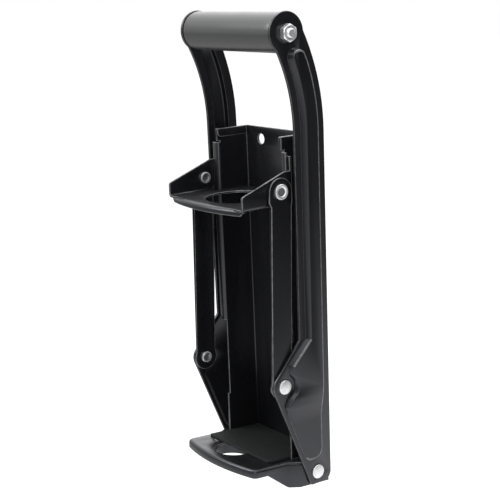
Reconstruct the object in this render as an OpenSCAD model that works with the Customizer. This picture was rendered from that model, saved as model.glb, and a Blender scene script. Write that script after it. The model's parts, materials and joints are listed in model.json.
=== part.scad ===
// Wall-mounted lever can crusher: a folded channel holds the can, a shelf carries it,
// and two pressed levers drive a sliding press plate down through a pair of links.
// +Z is up, +Y points into the wall, +X is to the right of a user facing the wall.
// The origin is the centre of the four wall holes, on the rear face of the channel.

/* [Sheet metal] */
// Thickness of the channel, shelf and press sheet
sheet_t = 1.5; // [1:0.1:2]
// Inside radius of the folds
fold_r = 1; // [0.6:0.1:1.2]
// Thickness of the lever sheet
lever_t = 1.8; // [1.2:0.1:2.4]
// Thickness of the link strip
link_t = 1.5; // [1:0.1:2]
// Gap between two sheets that move past each other
slip = 0.3; // [0.2:0.05:0.5]

/* [Channel] */
// Inside width of the channel, which takes a 66 mm can
channel_w = 69.5; // [68:0.5:74]
// Depth from the wall to the front of the guide lips
channel_d = 27; // [24:0.5:32]
// Height of the channel's top edge above the lever pivot
channel_top = 228.5; // [222:0.5:240]
// Width of each guide lip, outside the channel's side wall
lip_w = 4; // [3.5:0.25:7]
// Gap between the channel's top edge and the top of the guide lips
lip_drop = 9.6; // [8:0.2:14]
// Length of the guide lips
lip_len = 126.4; // [110:0.2:140]
// Height of the folded hem at the top of each side wall
hem_h = 5.8; // [4:0.2:7.5]
// Thickness that the hem adds inside the side wall
hem_t = 1.2; // [0.8:0.1:1.6]
// Height above the lever pivot below which the side walls reach full depth
stop_h = 38; // [30:1:60]

/* [Wall holes] */
// Diameter of the wall screw holes
hole_d = 7; // [4:0.5:8]
// Distance between the holes from side to side
hole_dx = 37.5; // [30:0.5:50]
// Distance between the upper and lower holes
hole_dz = 220; // [214:1:221]

/* [Shelf] */
// Angle at which the shelf leans back towards the channel
shelf_tilt = 4; // [0:0.5:6]
// Width of the shelf's front part
shelf_w = 79; // [77.5:0.5:80]
// Distance from the lever pivot forward to the front of the shelf
shelf_reach = 54; // [48:0.5:62]
// Radius of the curved front edge of the shelf
shelf_curve_r = 133; // [110:1:200]
// Radius of the shelf's front corners
shelf_corner_r = 4; // [3:0.5:8]
// Height of the shelf's top face above the lever pivot
shelf_h = 8; // [7.4:0.1:10]
// Depth of the turned-down front lip
shelf_lip = 6; // [4:0.5:8]
// Depth of the side flanges below the lever pivot
flange_drop = 9.6; // [8:0.2:12]
// Distance from the pivot forward to where the flanges widen
flange_jog_y = 21.5; // [18:0.5:24]
// Length over which the flanges widen
flange_jog_len = 8.5; // [6:0.5:12]
// Distance from the pivot forward to where the flanges deepen
flange_wave_y = 37; // [32:0.5:40]
// Diameter of the bottle-opener cut-out
opener_d = 25.5; // [18:0.5:28]
// Offset of the cut-out to the right of the shelf's centre
opener_x = -4; // [-8:0.5:8]
// Distance from the pivot forward to the centre of the cut-out
opener_y = 34.5; // [30:0.5:38]
// Offset of the small slot from the shelf's centre
tab_slot_x = -25.5; // [-30:0.5:-20]
// Width of the small slot
tab_slot_w = 4; // [2:0.5:6]

/* [Shelf mat] */
// Thickness of the mat
mat_t = 2; // [1:0.25:3]
// Distance from the pivot forward to the mat's front edge
mat_reach = 33; // [24:0.5:36]
// Gap between the mat and the channel's side walls
mat_gap = 0.35; // [0.2:0.05:1]
// Radius of the mat's front corners
mat_corner_r = 1.5; // [0.5:0.5:4]

/* [Press] */
// Height of the press plate's top face above the lever pivot, at rest
press_h = 186.6; // [180:0.2:190]
// Distance from the wall to the front of the press plate
press_reach = 68.5; // [64:0.5:74]
// Radius of the curved front edge of the press plate
press_curve_r = 129; // [110:1:180]
// Depth of the turned-down front lip, from the plate's top face
press_lip = 4.4; // [3.2:0.2:6]
// Diameter of the round hole in the press plate
press_hole_d = 47; // [36:1:50]
// Distance from the wall to the centre of that hole
press_hole_y = 34.5; // [32:0.5:36]
// Gap between the press plate and the inside of the channel
press_gap = 0.6; // [0.4:0.1:1.2]
// Distance from the wall to the rear edge of the press plate
press_rear = 4; // [3:0.5:7]
// Height of the ears at the front, above the plate's top face
ear_front_h = 8.6; // [6:0.2:12]
// Height of the ears at the rear, above the plate's top face
ear_rear_h = 20.6; // [19:0.2:24]
// Distance from the wall to the front edge of the ears
ear_front_y = 63.7; // [60:0.1:66]
// Distance from the wall to the top of the ear's slope
ear_slope_y = 29.7; // [29:0.1:34]
// Height of the hooks behind the guide lips
hook_h = 30; // [20:0.5:31]

/* [Links] */
// Width of the links
link_w = 18; // [15:0.5:20]
// Step by which the link's body stands out from its head
link_step = 0.8; // [0:0.1:1.5]
// Distance from the wall to the upper link joint
upper_joint_y = 34.4; // [33.5:0.1:38]
// Height of the upper link joint above the lever pivot, at rest
upper_joint_h = 195; // [193:0.1:197]

/* [Levers] */
// Distance from the wall to the lever pivot
pivot_y = 13; // [12:0.5:16]
// Distance from the wall to the lower link joint
lower_joint_y = 39; // [36:0.1:42]
// Height of the lower link joint above the lever pivot
lower_joint_h = 66.3; // [60:0.1:72]
// Radius of the lever's nose round the lower link joint
nose_r = 8.8; // [8:0.1:12]
// Width of the lever arm
arm_w = 24.4; // [22:0.2:27]
// Gap between the lever's rear edge and the wall
arm_wall_gap = 1.2; // [0.4:0.1:2]
// Height above the pivot at which the arm starts to curve forward
arm_bend_h = 232; // [215:1:240]
// Radius of the arm's centre line where it curves
arm_bend_r = 128; // [110:1:160]
// Height of the handle bolt above the pivot
bolt_h = 294.5; // [285:0.5:305]
// Radius of the lever's round top
top_r = 13.4; // [12.5:0.1:15]
// Depth of the lever's heel below the pivot
heel_drop = 8.7; // [8:0.1:10]
// Height of the pressed web above the rim
web_h = 4.2; // [3:0.2:6]
// Width of the flat rim along the rear of the arm
rim_w = 6.6; // [4:0.2:8]
// Width of the flat rim along the front of the arm
front_rim_w = 4.4; // [2:0.2:6]
// Angle at which the levers spread apart towards the handle
lever_spread = 0.5; // [0:0.1:1]

/* [Handle] */
// Diameter of the grip sleeve
grip_d = 25.6; // [22:0.2:30]
// Outer diameter of the spacer tube inside the grip
tube_d = 12; // [9:0.5:16]
// Diameter of the threaded rod
rod_d = 6; // [5:0.5:8]
// Width across the flats of the nuts
nut_af = 10; // [9.5:0.5:13]
// Height of the nuts
nut_h = 4.4; // [4:0.2:6.5]

/* [Rivets] */
// Diameter of the rivet shanks
shank_d = 6; // [4.5:0.5:6]
// Diameter of the flat heads of the lever rivets
head_d = 9.6; // [8.6:0.2:11]
// Diameter of the outer ring of the press rivets
ring_d = 10; // [9:0.2:11]
// Diameter of the formed tails on the inner side
tail_d = 7.8; // [7.2:0.2:8.4]
// Height of the rivet heads and tails
head_h = 1.4; // [1:0.1:1.5]
// Radial running clearance of a shank in a moving sheet
run_gap = 0.05; // [0.02:0.01:0.09]

/* [Hidden] */
$fn = 96;
eps = 0.01;
big = 400;

// Heights in the part's own frame
pivot_z = -hole_dz / 2;
top_z = pivot_z + channel_top;
lip_top_z = top_z - lip_drop;
lip_bot_z = lip_top_z - lip_len;
heel_z = pivot_z - flange_drop;
press_z = pivot_z + press_h;
upper_z = pivot_z + upper_joint_h;

// Layers from the channel outwards, as distances from the middle plane
wall_in = channel_w / 2;
wall_out = wall_in + sheet_t;
lip_out = wall_out + lip_w;
ear_in = lip_out + slip;
ear_out = ear_in + sheet_t;
link_head_in = ear_out + slip;
link_head_out = link_head_in + link_t;
link_in = link_head_in + link_step;
link_out = link_in + link_t;
spread_room = lower_joint_h * sin(lever_spread) / 2;
lever_in = link_out + slip + spread_room;
lever_out = lever_in + lever_t;

// The levers spread by a small angle about the lower joints, so their layers shift with height
seat = 0.08;
pivot_shift = -lower_joint_h * sin(lever_spread);
bolt_shift = (bolt_h - lower_joint_h) * sin(lever_spread);
flange_out = lever_in + pivot_shift - slip;
flange_in = flange_out - sheet_t;
grip_half = lever_in + bolt_shift - seat;
nut_in = lever_out + bolt_shift + seat;
nut_out = nut_in + nut_h;

// Lever outline
arm_y = -arm_wall_gap - arm_w / 2;
arm_front_y = arm_y - arm_w / 2;
bend_angle = asin((bolt_h - arm_bend_h) / arm_bend_r);
bolt_y = arm_y - arm_bend_r * (1 - cos(bend_angle));
web_front_reach = 2.6;
web_rear_reach = 1.2;
web_crown = 0.6;
panel_rim_w = 2.4;
web_rear_w = arm_w / 2 - rim_w - web_rear_reach - web_crown;
web_front_w = arm_w / 2 - web_front_reach - web_crown - front_rim_w;
web_end_h = bolt_h - top_r - 2.1;
web_end_angle = asin((web_end_h - arm_bend_h) / arm_bend_r);
web_end_r = (web_rear_w + web_front_w) / 2;
pocket_r = 10.4;
waist_h = 95;
heel_corner_r = 6.5;
toe_y = 19;
toe_slope = (lower_joint_y + nose_r - 0.7 - toe_y) / (lower_joint_h - 3.3 + heel_drop);
panel_inset = (panel_rim_w + web_front_reach + web_crown) / cos(atan(toe_slope));

// Shelf outline, measured from the pivot
shelf_corner_y = -shelf_reach + shelf_curve_r
    - sqrt(pow(shelf_curve_r - shelf_corner_r, 2) - pow(shelf_w / 2 - shelf_corner_r, 2));
jog_angle = atan2(flange_out - shelf_w / 2, flange_jog_len);

// Hooks of the press behind the guide lips
hook_front_y = -channel_d + sheet_t + slip;
hook_in = wall_out + fold_r;

// Mirrors a right-hand shape to make the left-hand one
module left_hand() {
    mirror([1, 0, 0]) children();
}

module both_hands() {
    children();
    left_hand() children();
}

// Extrudes a side view (Y to the right, Z up) along X from x0
module from_side(x0, t) {
    translate([x0, 0, 0]) rotate([90, 0, 90]) linear_extrude(t) children();
}

// Extrudes a front view (X to the right, Z up) from y_back towards the front
module from_front(y_back, len) {
    translate([0, y_back, 0]) rotate([90, 0, 0]) linear_extrude(len) children();
}

// A round bar along X from x0
module bar_x(x0, len, d) {
    translate([x0, 0, 0]) rotate([0, 90, 0]) cylinder(h = len, d = d);
}

// Quarter of a fold between two sheets, seen end on; qx and qy choose the quarter
module fold(qx, qy, r, t) {
    intersection() {
        difference() {
            circle(r + t);
            circle(r);
        }
        translate([qx > 0 ? 0 : -big, qy > 0 ? 0 : -big]) square(big);
    }
}

// The shelf's own frame: origin on the pivot axis, leaning back
module on_shelf() {
    translate([0, -pivot_y, pivot_z]) rotate([-shelf_tilt, 0, 0]) children();
}

// Everything under the shelf's top face, in front of the back panel
module below_shelf() {
    intersection() {
        on_shelf() translate([-big / 2, -big / 2, shelf_h - big]) cube(big);
        translate([-big / 2, -sheet_t - big, -big]) cube([big, big, big * 2]);
    }
}

// Plan of half the channel, with or without its guide lip
module channel_half(depth, lip) {
    translate([0, -sheet_t]) square([wall_in - fold_r, sheet_t]);
    translate([wall_in - fold_r, -sheet_t - fold_r]) fold(1, 1, fold_r, sheet_t);
    front = lip ? channel_d - sheet_t - fold_r : depth;
    translate([wall_in, -front]) square([sheet_t, front - sheet_t - fold_r]);
    if (lip) {
        translate([wall_out + fold_r, -front]) fold(-1, -1, fold_r, sheet_t);
        translate([wall_out + fold_r, -channel_d]) square([lip_w - fold_r, sheet_t]);
    }
}

module channel_part(z0, z1, depth, lip) {
    translate([0, 0, z0]) linear_extrude(z1 - z0) {
        channel_half(depth, lip);
        mirror([1, 0]) channel_half(depth, lip);
    }
}

// Folded hem inside the top of a side wall, with a rounded lower front corner
module hem() {
    from_side(wall_in - hem_t, hem_t + eps) {
        translate([-channel_d, top_z - hem_h / 2]) square([channel_d - sheet_t - fold_r, hem_h / 2]);
        translate([-channel_d + hem_h / 2, top_z - hem_h]) {
            square([channel_d - sheet_t - fold_r - hem_h / 2, hem_h]);
        }
        translate([-channel_d + hem_h / 2, top_z - hem_h / 2]) circle(hem_h / 2);
    }
}

module back_channel() {
    relief = 1;
    short_d = channel_d - sheet_t;
    color("#1b1c1f") difference() {
        union() {
            channel_part(lip_top_z + relief, top_z, channel_d, false);
            channel_part(lip_top_z, lip_top_z + relief, channel_d - sheet_t - fold_r, false);
            channel_part(lip_bot_z, lip_top_z, channel_d, true);
            channel_part(pivot_z + stop_h, lip_bot_z, short_d, false);
            channel_part(heel_z, pivot_z + stop_h, channel_d, false);
            both_hands() hem();
        }
        below_shelf();
        for (x = [-1, 1], z = [-1, 1]) {
            translate([x * hole_dx / 2, 1, z * hole_dz / 2]) rotate([90, 0, 0]) {
                cylinder(h = sheet_t + 2, d = hole_d);
            }
        }
    }
}

// Plan of the shelf, drawn in by k all round except at the rear
module shelf_plan(k) {
    half = shelf_w / 2 - k;
    wide = flange_out - k;
    jog_y = -flange_jog_y + k * tan(jog_angle / 2);
    rear = pivot_y + 4;
    corner_x = shelf_w / 2 - shelf_corner_r;
    corner_r = shelf_corner_r - k;
    front_r = shelf_curve_r - k;
    front_y = shelf_curve_r - shelf_reach;
    bow = asin(corner_x / (shelf_curve_r - shelf_corner_r));
    right = [
        [wide, rear], [wide, jog_y + flange_jog_len], [half, jog_y],
        for (i = [0 : 8]) let (a = -i * (90 - bow) / 8) [corner_x + corner_r * cos(a), shelf_corner_y + corner_r * sin(a)]
    ];
    front = [for (i = [1 : 31]) let (a = bow - i * bow / 16) [front_r * sin(a), front_y - front_r * cos(a)]];
    left = [for (i = [len(right) - 1 : -1 : 0]) [-right[i][0], right[i][1]]];
    polygon(concat(right, front, left));
}

// Side view of what is cut away below the lip and the wavy flanges
module flange_cut() {
    lip_z = shelf_h - shelf_lip;
    slope = 17;
    offset(r = 3) offset(delta = -3) offset(r = -4) offset(delta = 4) polygon([
        [-big, -big], [-big, lip_z], [-flange_wave_y, lip_z], [-flange_wave_y + slope, -flange_drop],
        [big, -flange_drop], [big, -big]
    ]);
}

module base_tray() {
    height = shelf_h + flange_drop + 4;
    color("#1d1e21") difference() {
        on_shelf() difference() {
            translate([0, 0, shelf_h - height]) linear_extrude(height) shelf_plan(0);
            translate([0, 0, shelf_h - height - 1]) linear_extrude(height + 1 - sheet_t) shelf_plan(sheet_t);
            from_side(-big / 2, big) flange_cut();
            translate([opener_x, -opener_y, 0]) cylinder(h = shelf_h * 2, d = opener_d);
            translate([tab_slot_x - tab_slot_w / 2, -opener_y - 1.5, 0]) cube([tab_slot_w, 2.2, shelf_h * 2]);
            bar_x(-flange_out - 1, flange_out * 2 + 2, shank_d);
        }
        translate([-big / 2, -sheet_t, -big]) cube([big, big, big * 2]);
    }
}

module base_mat() {
    half = wall_in - mat_gap;
    r = mat_corner_r;
    color("#26282a") difference() {
        on_shelf() translate([0, 0, shelf_h]) linear_extrude(mat_t) {
            translate([-half, -mat_reach + r]) square([half * 2, mat_reach + pivot_y]);
            translate([-half + r, -mat_reach]) square([(half - r) * 2, r + 1]);
            for (s = [-1, 1]) {
                translate([s * (half - r), -mat_reach + r]) circle(r);
            }
        }
        translate([-big / 2, -sheet_t - slip, -big]) cube([big, big, big * 2]);
    }
}

// Front view of the press: plate, folds and full-height ears
module press_section() {
    ear_z0 = press_z - sheet_t + fold_r + sheet_t;
    for (s = [0, 1]) {
        mirror([s, 0]) {
            translate([0, press_z - sheet_t]) square([ear_in - fold_r, sheet_t]);
            translate([ear_in - fold_r, press_z + fold_r]) fold(1, -1, fold_r, sheet_t);
            translate([ear_in, ear_z0]) square([sheet_t, big]);
        }
    }
}

// Side view of an ear, from its front edge back past the guide lip
module ear_side() {
    rear_y = hook_front_y + sheet_t;
    low_z = press_z - sheet_t;
    polygon([
        [-ear_front_y, low_z], [-ear_front_y, press_z + ear_front_h - 1.2],
        [-ear_front_y + 0.6, press_z + ear_front_h - 0.2], [-ear_front_y + 1.8, press_z + ear_front_h + 0.4],
        [-ear_slope_y, press_z + ear_rear_h], [rear_y, press_z + ear_rear_h], [rear_y, low_z]
    ]);
}

// Hook at the rear of an ear, folded in behind the guide lip
module ear_hook() {
    translate([hook_in, hook_front_y, press_z]) cube([ear_out - hook_in, sheet_t, hook_h]);
}

// Curved, turned-down front lip of the press plate
module press_front() {
    turned = press_lip - sheet_t - fold_r;
    intersection() {
        translate([0, press_curve_r - press_reach, press_z]) rotate_extrude($fn = 360) {
            translate([press_curve_r - 20, -sheet_t]) square([20 - sheet_t - fold_r, sheet_t]);
            translate([press_curve_r - sheet_t - fold_r, -sheet_t - fold_r]) fold(1, 1, fold_r, sheet_t);
            translate([press_curve_r - sheet_t, -press_lip]) square([sheet_t, turned + eps]);
        }
        from_front(-press_reach + 15, 16) polygon([
            [-ear_in - eps, press_z + 1], [ear_in + eps, press_z + 1], [ear_in + eps, press_z - sheet_t],
            [ear_in - 3, press_z - press_lip - eps], [3 - ear_in, press_z - press_lip - eps],
            [-ear_in - eps, press_z - sheet_t]
        ]);
    }
}

module press_carriage() {
    channel_fit = wall_in - press_gap;
    front_gap_y = -channel_d - 1.5;
    ear_start_y = -ear_front_y + 1;
    color("#1a1b1e") difference() {
        union() {
            intersection() {
                from_front(hook_front_y + sheet_t, ear_front_y + hook_front_y + sheet_t) press_section();
                both_hands() from_side(-eps, big) ear_side();
                union() {
                    translate([-ear_in + fold_r, -big, -big]) {
                        cube([(ear_in - fold_r) * 2, big + front_gap_y, big * 2]);
                    }
                    both_hands() translate([ear_in - fold_r - eps, -big, -big]) {
                        cube([big, big + front_gap_y, big * 2]);
                    }
                    both_hands() translate([ear_in, -big, press_z + fold_r]) cube([big, big * 2, big]);
                }
            }
            press_front();
            translate([-channel_fit, ear_start_y, press_z - sheet_t]) {
                cube([channel_fit * 2, -press_rear - ear_start_y, sheet_t]);
            }
            both_hands() ear_hook();
        }
        translate([0, -press_hole_y, press_z - big / 2]) cylinder(h = big, d = press_hole_d);
        translate([0, -upper_joint_y, upper_z]) bar_x(-ear_out - 1, ear_out * 2 + 2, shank_d);
    }
}

// Link in its own frame: origin at the upper joint, body hanging down by link_len
module link_right() {
    dy = upper_joint_y - lower_joint_y;
    dz = upper_joint_h - lower_joint_h;
    link_len = sqrt(dy * dy + dz * dz);
    lean = atan2(dy, dz);
    step_top = 6.5;
    step_len = 3;
    body_top = step_top + step_len;
    color("#202125") translate([0, -upper_joint_y, upper_z]) rotate([lean, 0, 0]) difference() {
        union() {
            from_side(link_head_in, link_t) {
                intersection() {
                    circle(d = link_w);
                    translate([-link_w, 0]) square(link_w * 2);
                }
                translate([-link_w / 2, -step_top]) square([link_w, step_top + eps]);
            }
            hull() {
                translate([link_head_in, -link_w / 2, -step_top]) cube([link_t, link_w, eps]);
                translate([link_in, -link_w / 2, -body_top]) cube([link_t, link_w, eps]);
            }
            from_side(link_in, link_t) {
                translate([-link_w / 2, -link_len]) square([link_w, link_len - body_top + eps]);
                translate([0, -link_len]) circle(d = link_w);
            }
        }
        bar_x(link_head_in - 1, link_t + 2, shank_d + run_gap * 2);
        translate([0, 0, -link_len]) bar_x(link_in - 1, link_t + 2, shank_d);
    }
}

// Band that follows the arm's centre line, from front_w ahead of it to rear_w behind it
module arm_band(front_w, rear_w, low_h, angle) {
    translate([arm_y - front_w, low_h]) square([front_w + rear_w, arm_bend_h - low_h]);
    translate([arm_y - arm_bend_r, arm_bend_h]) intersection() {
        difference() {
            circle(arm_bend_r + rear_w, $fn = 240);
            circle(arm_bend_r - front_w, $fn = 240);
        }
        polygon([[0, -eps], [big, -eps], [big * cos(angle), big * sin(angle)]]);
    }
}

// Whole outline of a lever, seen from the side, heights from the pivot
module lever_outline() {
    arm_band(arm_w / 2, arm_w / 2, waist_h - eps, bend_angle);
    translate([bolt_y, bolt_h]) circle(top_r);
    hull() {
        translate([-lower_joint_y, lower_joint_h]) circle(nose_r, $fn = 48);
        translate([arm_front_y, waist_h - 1]) square([arm_w, 1]);
        translate([-toe_y + 1.5, -heel_drop + 1.5]) circle(1.5, $fn = 32);
        translate([-arm_wall_gap - heel_corner_r, -heel_drop + heel_corner_r]) circle(heel_corner_r, $fn = 48);
    }
}

// Points along an arc about (cy, cz), from angle a0 to a1 in n steps, without its two ends
function arc_points(cy, cz, r, a0, a1, n) = [
    for (i = [1:n - 1]) let (a = a0 + (a1 - a0) * i / n) [cy + r * cos(a), cz + r * sin(a)]
];

// Crest of the pressed web: the arm, its round upper end, a pocket at the lower joint
// and the panel above the pivot
module web_crest() {
    a = web_end_angle;
    bend_y = arm_y - arm_bend_r;
    end_r = arm_bend_r + (web_rear_w - web_front_w) / 2;
    rear_y = arm_y + web_rear_w;
    front_y = arm_y - web_front_w;
    panel_y = -toe_y - heel_drop * toe_slope + panel_inset;
    polygon(concat(
        [[rear_y, 16], [rear_y, arm_bend_h]],
        arc_points(bend_y, arm_bend_h, arm_bend_r + web_rear_w, 0, a, 12),
        arc_points(bend_y + end_r * cos(a), arm_bend_h + end_r * sin(a), web_end_r, a, a + 180, 8),
        arc_points(bend_y, arm_bend_h, arm_bend_r - web_front_w, a, 0, 12),
        [[front_y, arm_bend_h], [front_y, waist_h], [-lower_joint_y + 6, lower_joint_h + 13.5]],
        arc_points(-lower_joint_y, lower_joint_h, pocket_r, 75, -80, 7),
        [
            [panel_y - (lower_joint_h - 14) * toe_slope, lower_joint_h - 14],
            [panel_y - 13 * toe_slope, 13], [panel_y - 11 * toe_slope + 2, 11],
            [rear_y - 4.5, 11], [rear_y - 1.5, 12.6]
        ]
    ));
}

// Solid under the web's outer face, rising from the plane x0
module web_solid(x0) {
    disc_r = (web_front_reach + web_rear_reach) / 2;
    translate([x0, 0, 0]) rotate([90, 0, 90]) minkowski() {
        linear_extrude(eps) web_crest();
        hull() {
            translate([disc_r - web_front_reach, 0, -eps]) cylinder(h = eps, r = disc_r, $fn = 12);
            translate([0, 0, web_h - 0.6]) cylinder(h = eps, r = web_crown + 0.5, $fn = 12);
            translate([0, 0, web_h - eps]) cylinder(h = eps, r = web_crown - 0.3, $fn = 12);
        }
    }
}

module lever_right() {
    hole = shank_d + run_gap * 2;
    color("#17181b") translate([0, 0, pivot_z]) difference() {
        translate([lever_in, 0, lower_joint_h]) rotate([0, lever_spread, 0]) difference() {
            translate([-lever_in, 0, -lower_joint_h]) union() {
                from_side(lever_in, lever_t) lever_outline();
                web_solid(lever_out);
            }
            translate([-lever_in, 0, -lower_joint_h]) web_solid(lever_in);
        }
        translate([0, -pivot_y, 0]) bar_x(lever_in - 3, lever_t + 4, hole);
        translate([0, -lower_joint_y, lower_joint_h]) bar_x(lever_in - 1, lever_t + 2, shank_d);
        translate([0, bolt_y, bolt_h]) bar_x(lever_in, lever_t + 4, rod_d);
    }
}

module at_bolt() {
    translate([0, bolt_y, pivot_z + bolt_h]) children();
}

module grip_sleeve() {
    half = grip_half - seat;
    color("#7d7f80") at_bolt() difference() {
        bar_x(-half, half * 2, grip_d);
        bar_x(-half - 1, half * 2 + 2, tube_d);
    }
}

module grip_tube() {
    color("#a8abae") at_bolt() difference() {
        bar_x(-grip_half, grip_half * 2, tube_d);
        bar_x(-grip_half - 1, grip_half * 2 + 2, rod_d);
    }
}

module handle_rod() {
    rod_out = nut_out + 1;
    color("#b9bcc0") at_bolt() bar_x(-rod_out, rod_out * 2, rod_d);
}

module handle_nut_right() {
    dome_r = nut_af;
    color("#c9ccd0") at_bolt() difference() {
        intersection() {
            translate([nut_in, 0, 0]) rotate([0, 90, 0]) cylinder(h = nut_h, d = nut_af / cos(30), $fn = 6);
            translate([nut_out - dome_r - 0.1, 0, 0]) sphere(r = dome_r + 0.1);
        }
        bar_x(nut_in - 1, nut_h + 2, rod_d);
    }
}

// Flat rivet head with a soft rim, standing on the plane x0
module rivet_head(x0, d, h) {
    rim = 0.5;
    translate([x0, 0, 0]) rotate([0, 90, 0]) {
        cylinder(h = h - rim, d = d);
        translate([0, 0, h - rim]) cylinder(h = rim, d1 = d, d2 = d - rim * 2);
    }
}

// Formed tail or ring with a shallow hollow, its open face at distance h from x0
module rivet_ring(x0, d, h, side) {
    rim = 0.4;
    hollow_h = 0.7;
    translate([x0, 0, 0]) rotate([0, side * 90, 0]) difference() {
        union() {
            cylinder(h = h - rim, d = d);
            translate([0, 0, h - rim]) cylinder(h = rim, d1 = d, d2 = d - rim * 2);
        }
        translate([0, 0, h - hollow_h]) cylinder(h = hollow_h + 1, d = d * 0.62);
    }
}

module pivot_rivet_right() {
    head_x = lever_out + pivot_shift + seat + slip / 3;
    color("#c6c9cd") translate([0, -pivot_y, pivot_z]) {
        rivet_head(head_x, head_d, head_h);
        bar_x(flange_in, head_x - flange_in + eps, shank_d);
        rivet_ring(flange_in, tail_d, head_h, -1);
    }
}

module press_rivet_right() {
    ring_x = link_head_out + slip / 3;
    color("#c6c9cd") translate([0, -upper_joint_y, upper_z]) {
        rivet_ring(ring_x, ring_d, head_h, 1);
        bar_x(ear_in, ring_x - ear_in + eps, shank_d);
        rivet_ring(ear_in, tail_d, head_h, -1);
    }
}

module joint_rivet_head_right() {
    color("#c6c9cd") translate([0, -lower_joint_y, pivot_z + lower_joint_h]) {
        rivet_head(lever_out + seat, head_d, head_h);
        bar_x(lever_in + 0.1, lever_t, shank_d);
    }
}

module joint_rivet_tail_right() {
    color("#c6c9cd") translate([0, -lower_joint_y, pivot_z + lower_joint_h]) {
        bar_x(link_in - eps, link_t - 0.1, shank_d);
        rivet_ring(link_in, tail_d, head_h, -1);
    }
}

back_channel();
base_tray();
base_mat();
press_carriage();
left_hand() link_right();  // link_left
link_right();
left_hand() lever_right();  // lever_left
lever_right();
grip_sleeve();
grip_tube();
handle_rod();
left_hand() handle_nut_right();  // handle_nut_left
handle_nut_right();
left_hand() pivot_rivet_right();  // pivot_rivet_left
pivot_rivet_right();
left_hand() press_rivet_right();  // press_rivet_left
press_rivet_right();
left_hand() joint_rivet_head_right();  // joint_rivet_head_left
joint_rivet_head_right();
left_hand() joint_rivet_tail_right();  // joint_rivet_tail_left
joint_rivet_tail_right();
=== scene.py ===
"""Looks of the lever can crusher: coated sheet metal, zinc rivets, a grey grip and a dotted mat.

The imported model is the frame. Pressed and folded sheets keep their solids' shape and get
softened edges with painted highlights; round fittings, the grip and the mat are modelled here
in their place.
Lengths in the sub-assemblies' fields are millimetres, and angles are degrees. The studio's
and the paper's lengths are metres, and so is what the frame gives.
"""

import json
import logging
import math
from collections.abc import Callable
from dataclasses import dataclass
from enum import Enum

import bmesh
import bpy
from mathutils import Matrix, Vector

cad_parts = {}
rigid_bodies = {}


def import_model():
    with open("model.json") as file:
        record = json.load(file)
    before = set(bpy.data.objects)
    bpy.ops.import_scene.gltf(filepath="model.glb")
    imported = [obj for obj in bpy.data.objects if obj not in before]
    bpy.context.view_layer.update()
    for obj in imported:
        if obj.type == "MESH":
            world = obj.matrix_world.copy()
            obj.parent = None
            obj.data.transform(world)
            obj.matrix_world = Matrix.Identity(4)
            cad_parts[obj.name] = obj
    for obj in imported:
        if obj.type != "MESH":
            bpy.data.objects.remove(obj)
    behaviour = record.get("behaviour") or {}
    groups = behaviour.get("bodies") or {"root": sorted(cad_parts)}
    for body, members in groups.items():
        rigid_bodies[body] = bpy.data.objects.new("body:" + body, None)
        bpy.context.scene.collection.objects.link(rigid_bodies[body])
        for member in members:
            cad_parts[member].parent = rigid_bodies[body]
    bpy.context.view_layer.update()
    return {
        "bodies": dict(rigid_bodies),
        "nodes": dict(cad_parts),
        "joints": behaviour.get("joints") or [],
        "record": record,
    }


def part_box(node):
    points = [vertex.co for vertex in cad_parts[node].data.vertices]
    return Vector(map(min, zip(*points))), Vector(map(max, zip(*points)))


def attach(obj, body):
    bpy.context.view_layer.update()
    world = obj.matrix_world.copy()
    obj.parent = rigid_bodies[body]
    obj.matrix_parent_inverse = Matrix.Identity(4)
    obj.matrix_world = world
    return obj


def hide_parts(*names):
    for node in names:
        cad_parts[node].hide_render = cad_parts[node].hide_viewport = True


log = logging.getLogger("can_crusher")

MM = 0.001
# Face mask of painted light: painted highlights on softened sheet edges, painted shade in rivet hollows.
PAINTED_LIGHT_MASK = "edge_mask"
TINY = 1e-6
WELD = 2e-6
FLAT_ANGLE = 0.6
FINE_TURN = 96

Node = bpy.types.Node
Tree = bpy.types.NodeTree
Socket = bpy.types.NodeSocket
Outputs = bpy.types.NodeOutputs
Material = bpy.types.Material
Piece = bpy.types.Object
Mesh = bmesh.types.BMesh
Edge = bmesh.types.BMEdge
Vert = bmesh.types.BMVert
Triple = tuple[float, float, float]
Span = tuple[float, float]
Profile = list[tuple[float, float]]


class Side(Enum):
    """The two sides of the object, as a user facing the wall sees them."""

    LEFT = -1
    RIGHT = 1

    @property
    def word(self) -> str:
        """The side's name in node names."""
        return self.name.lower()


# ---------------- shader helpers


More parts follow.
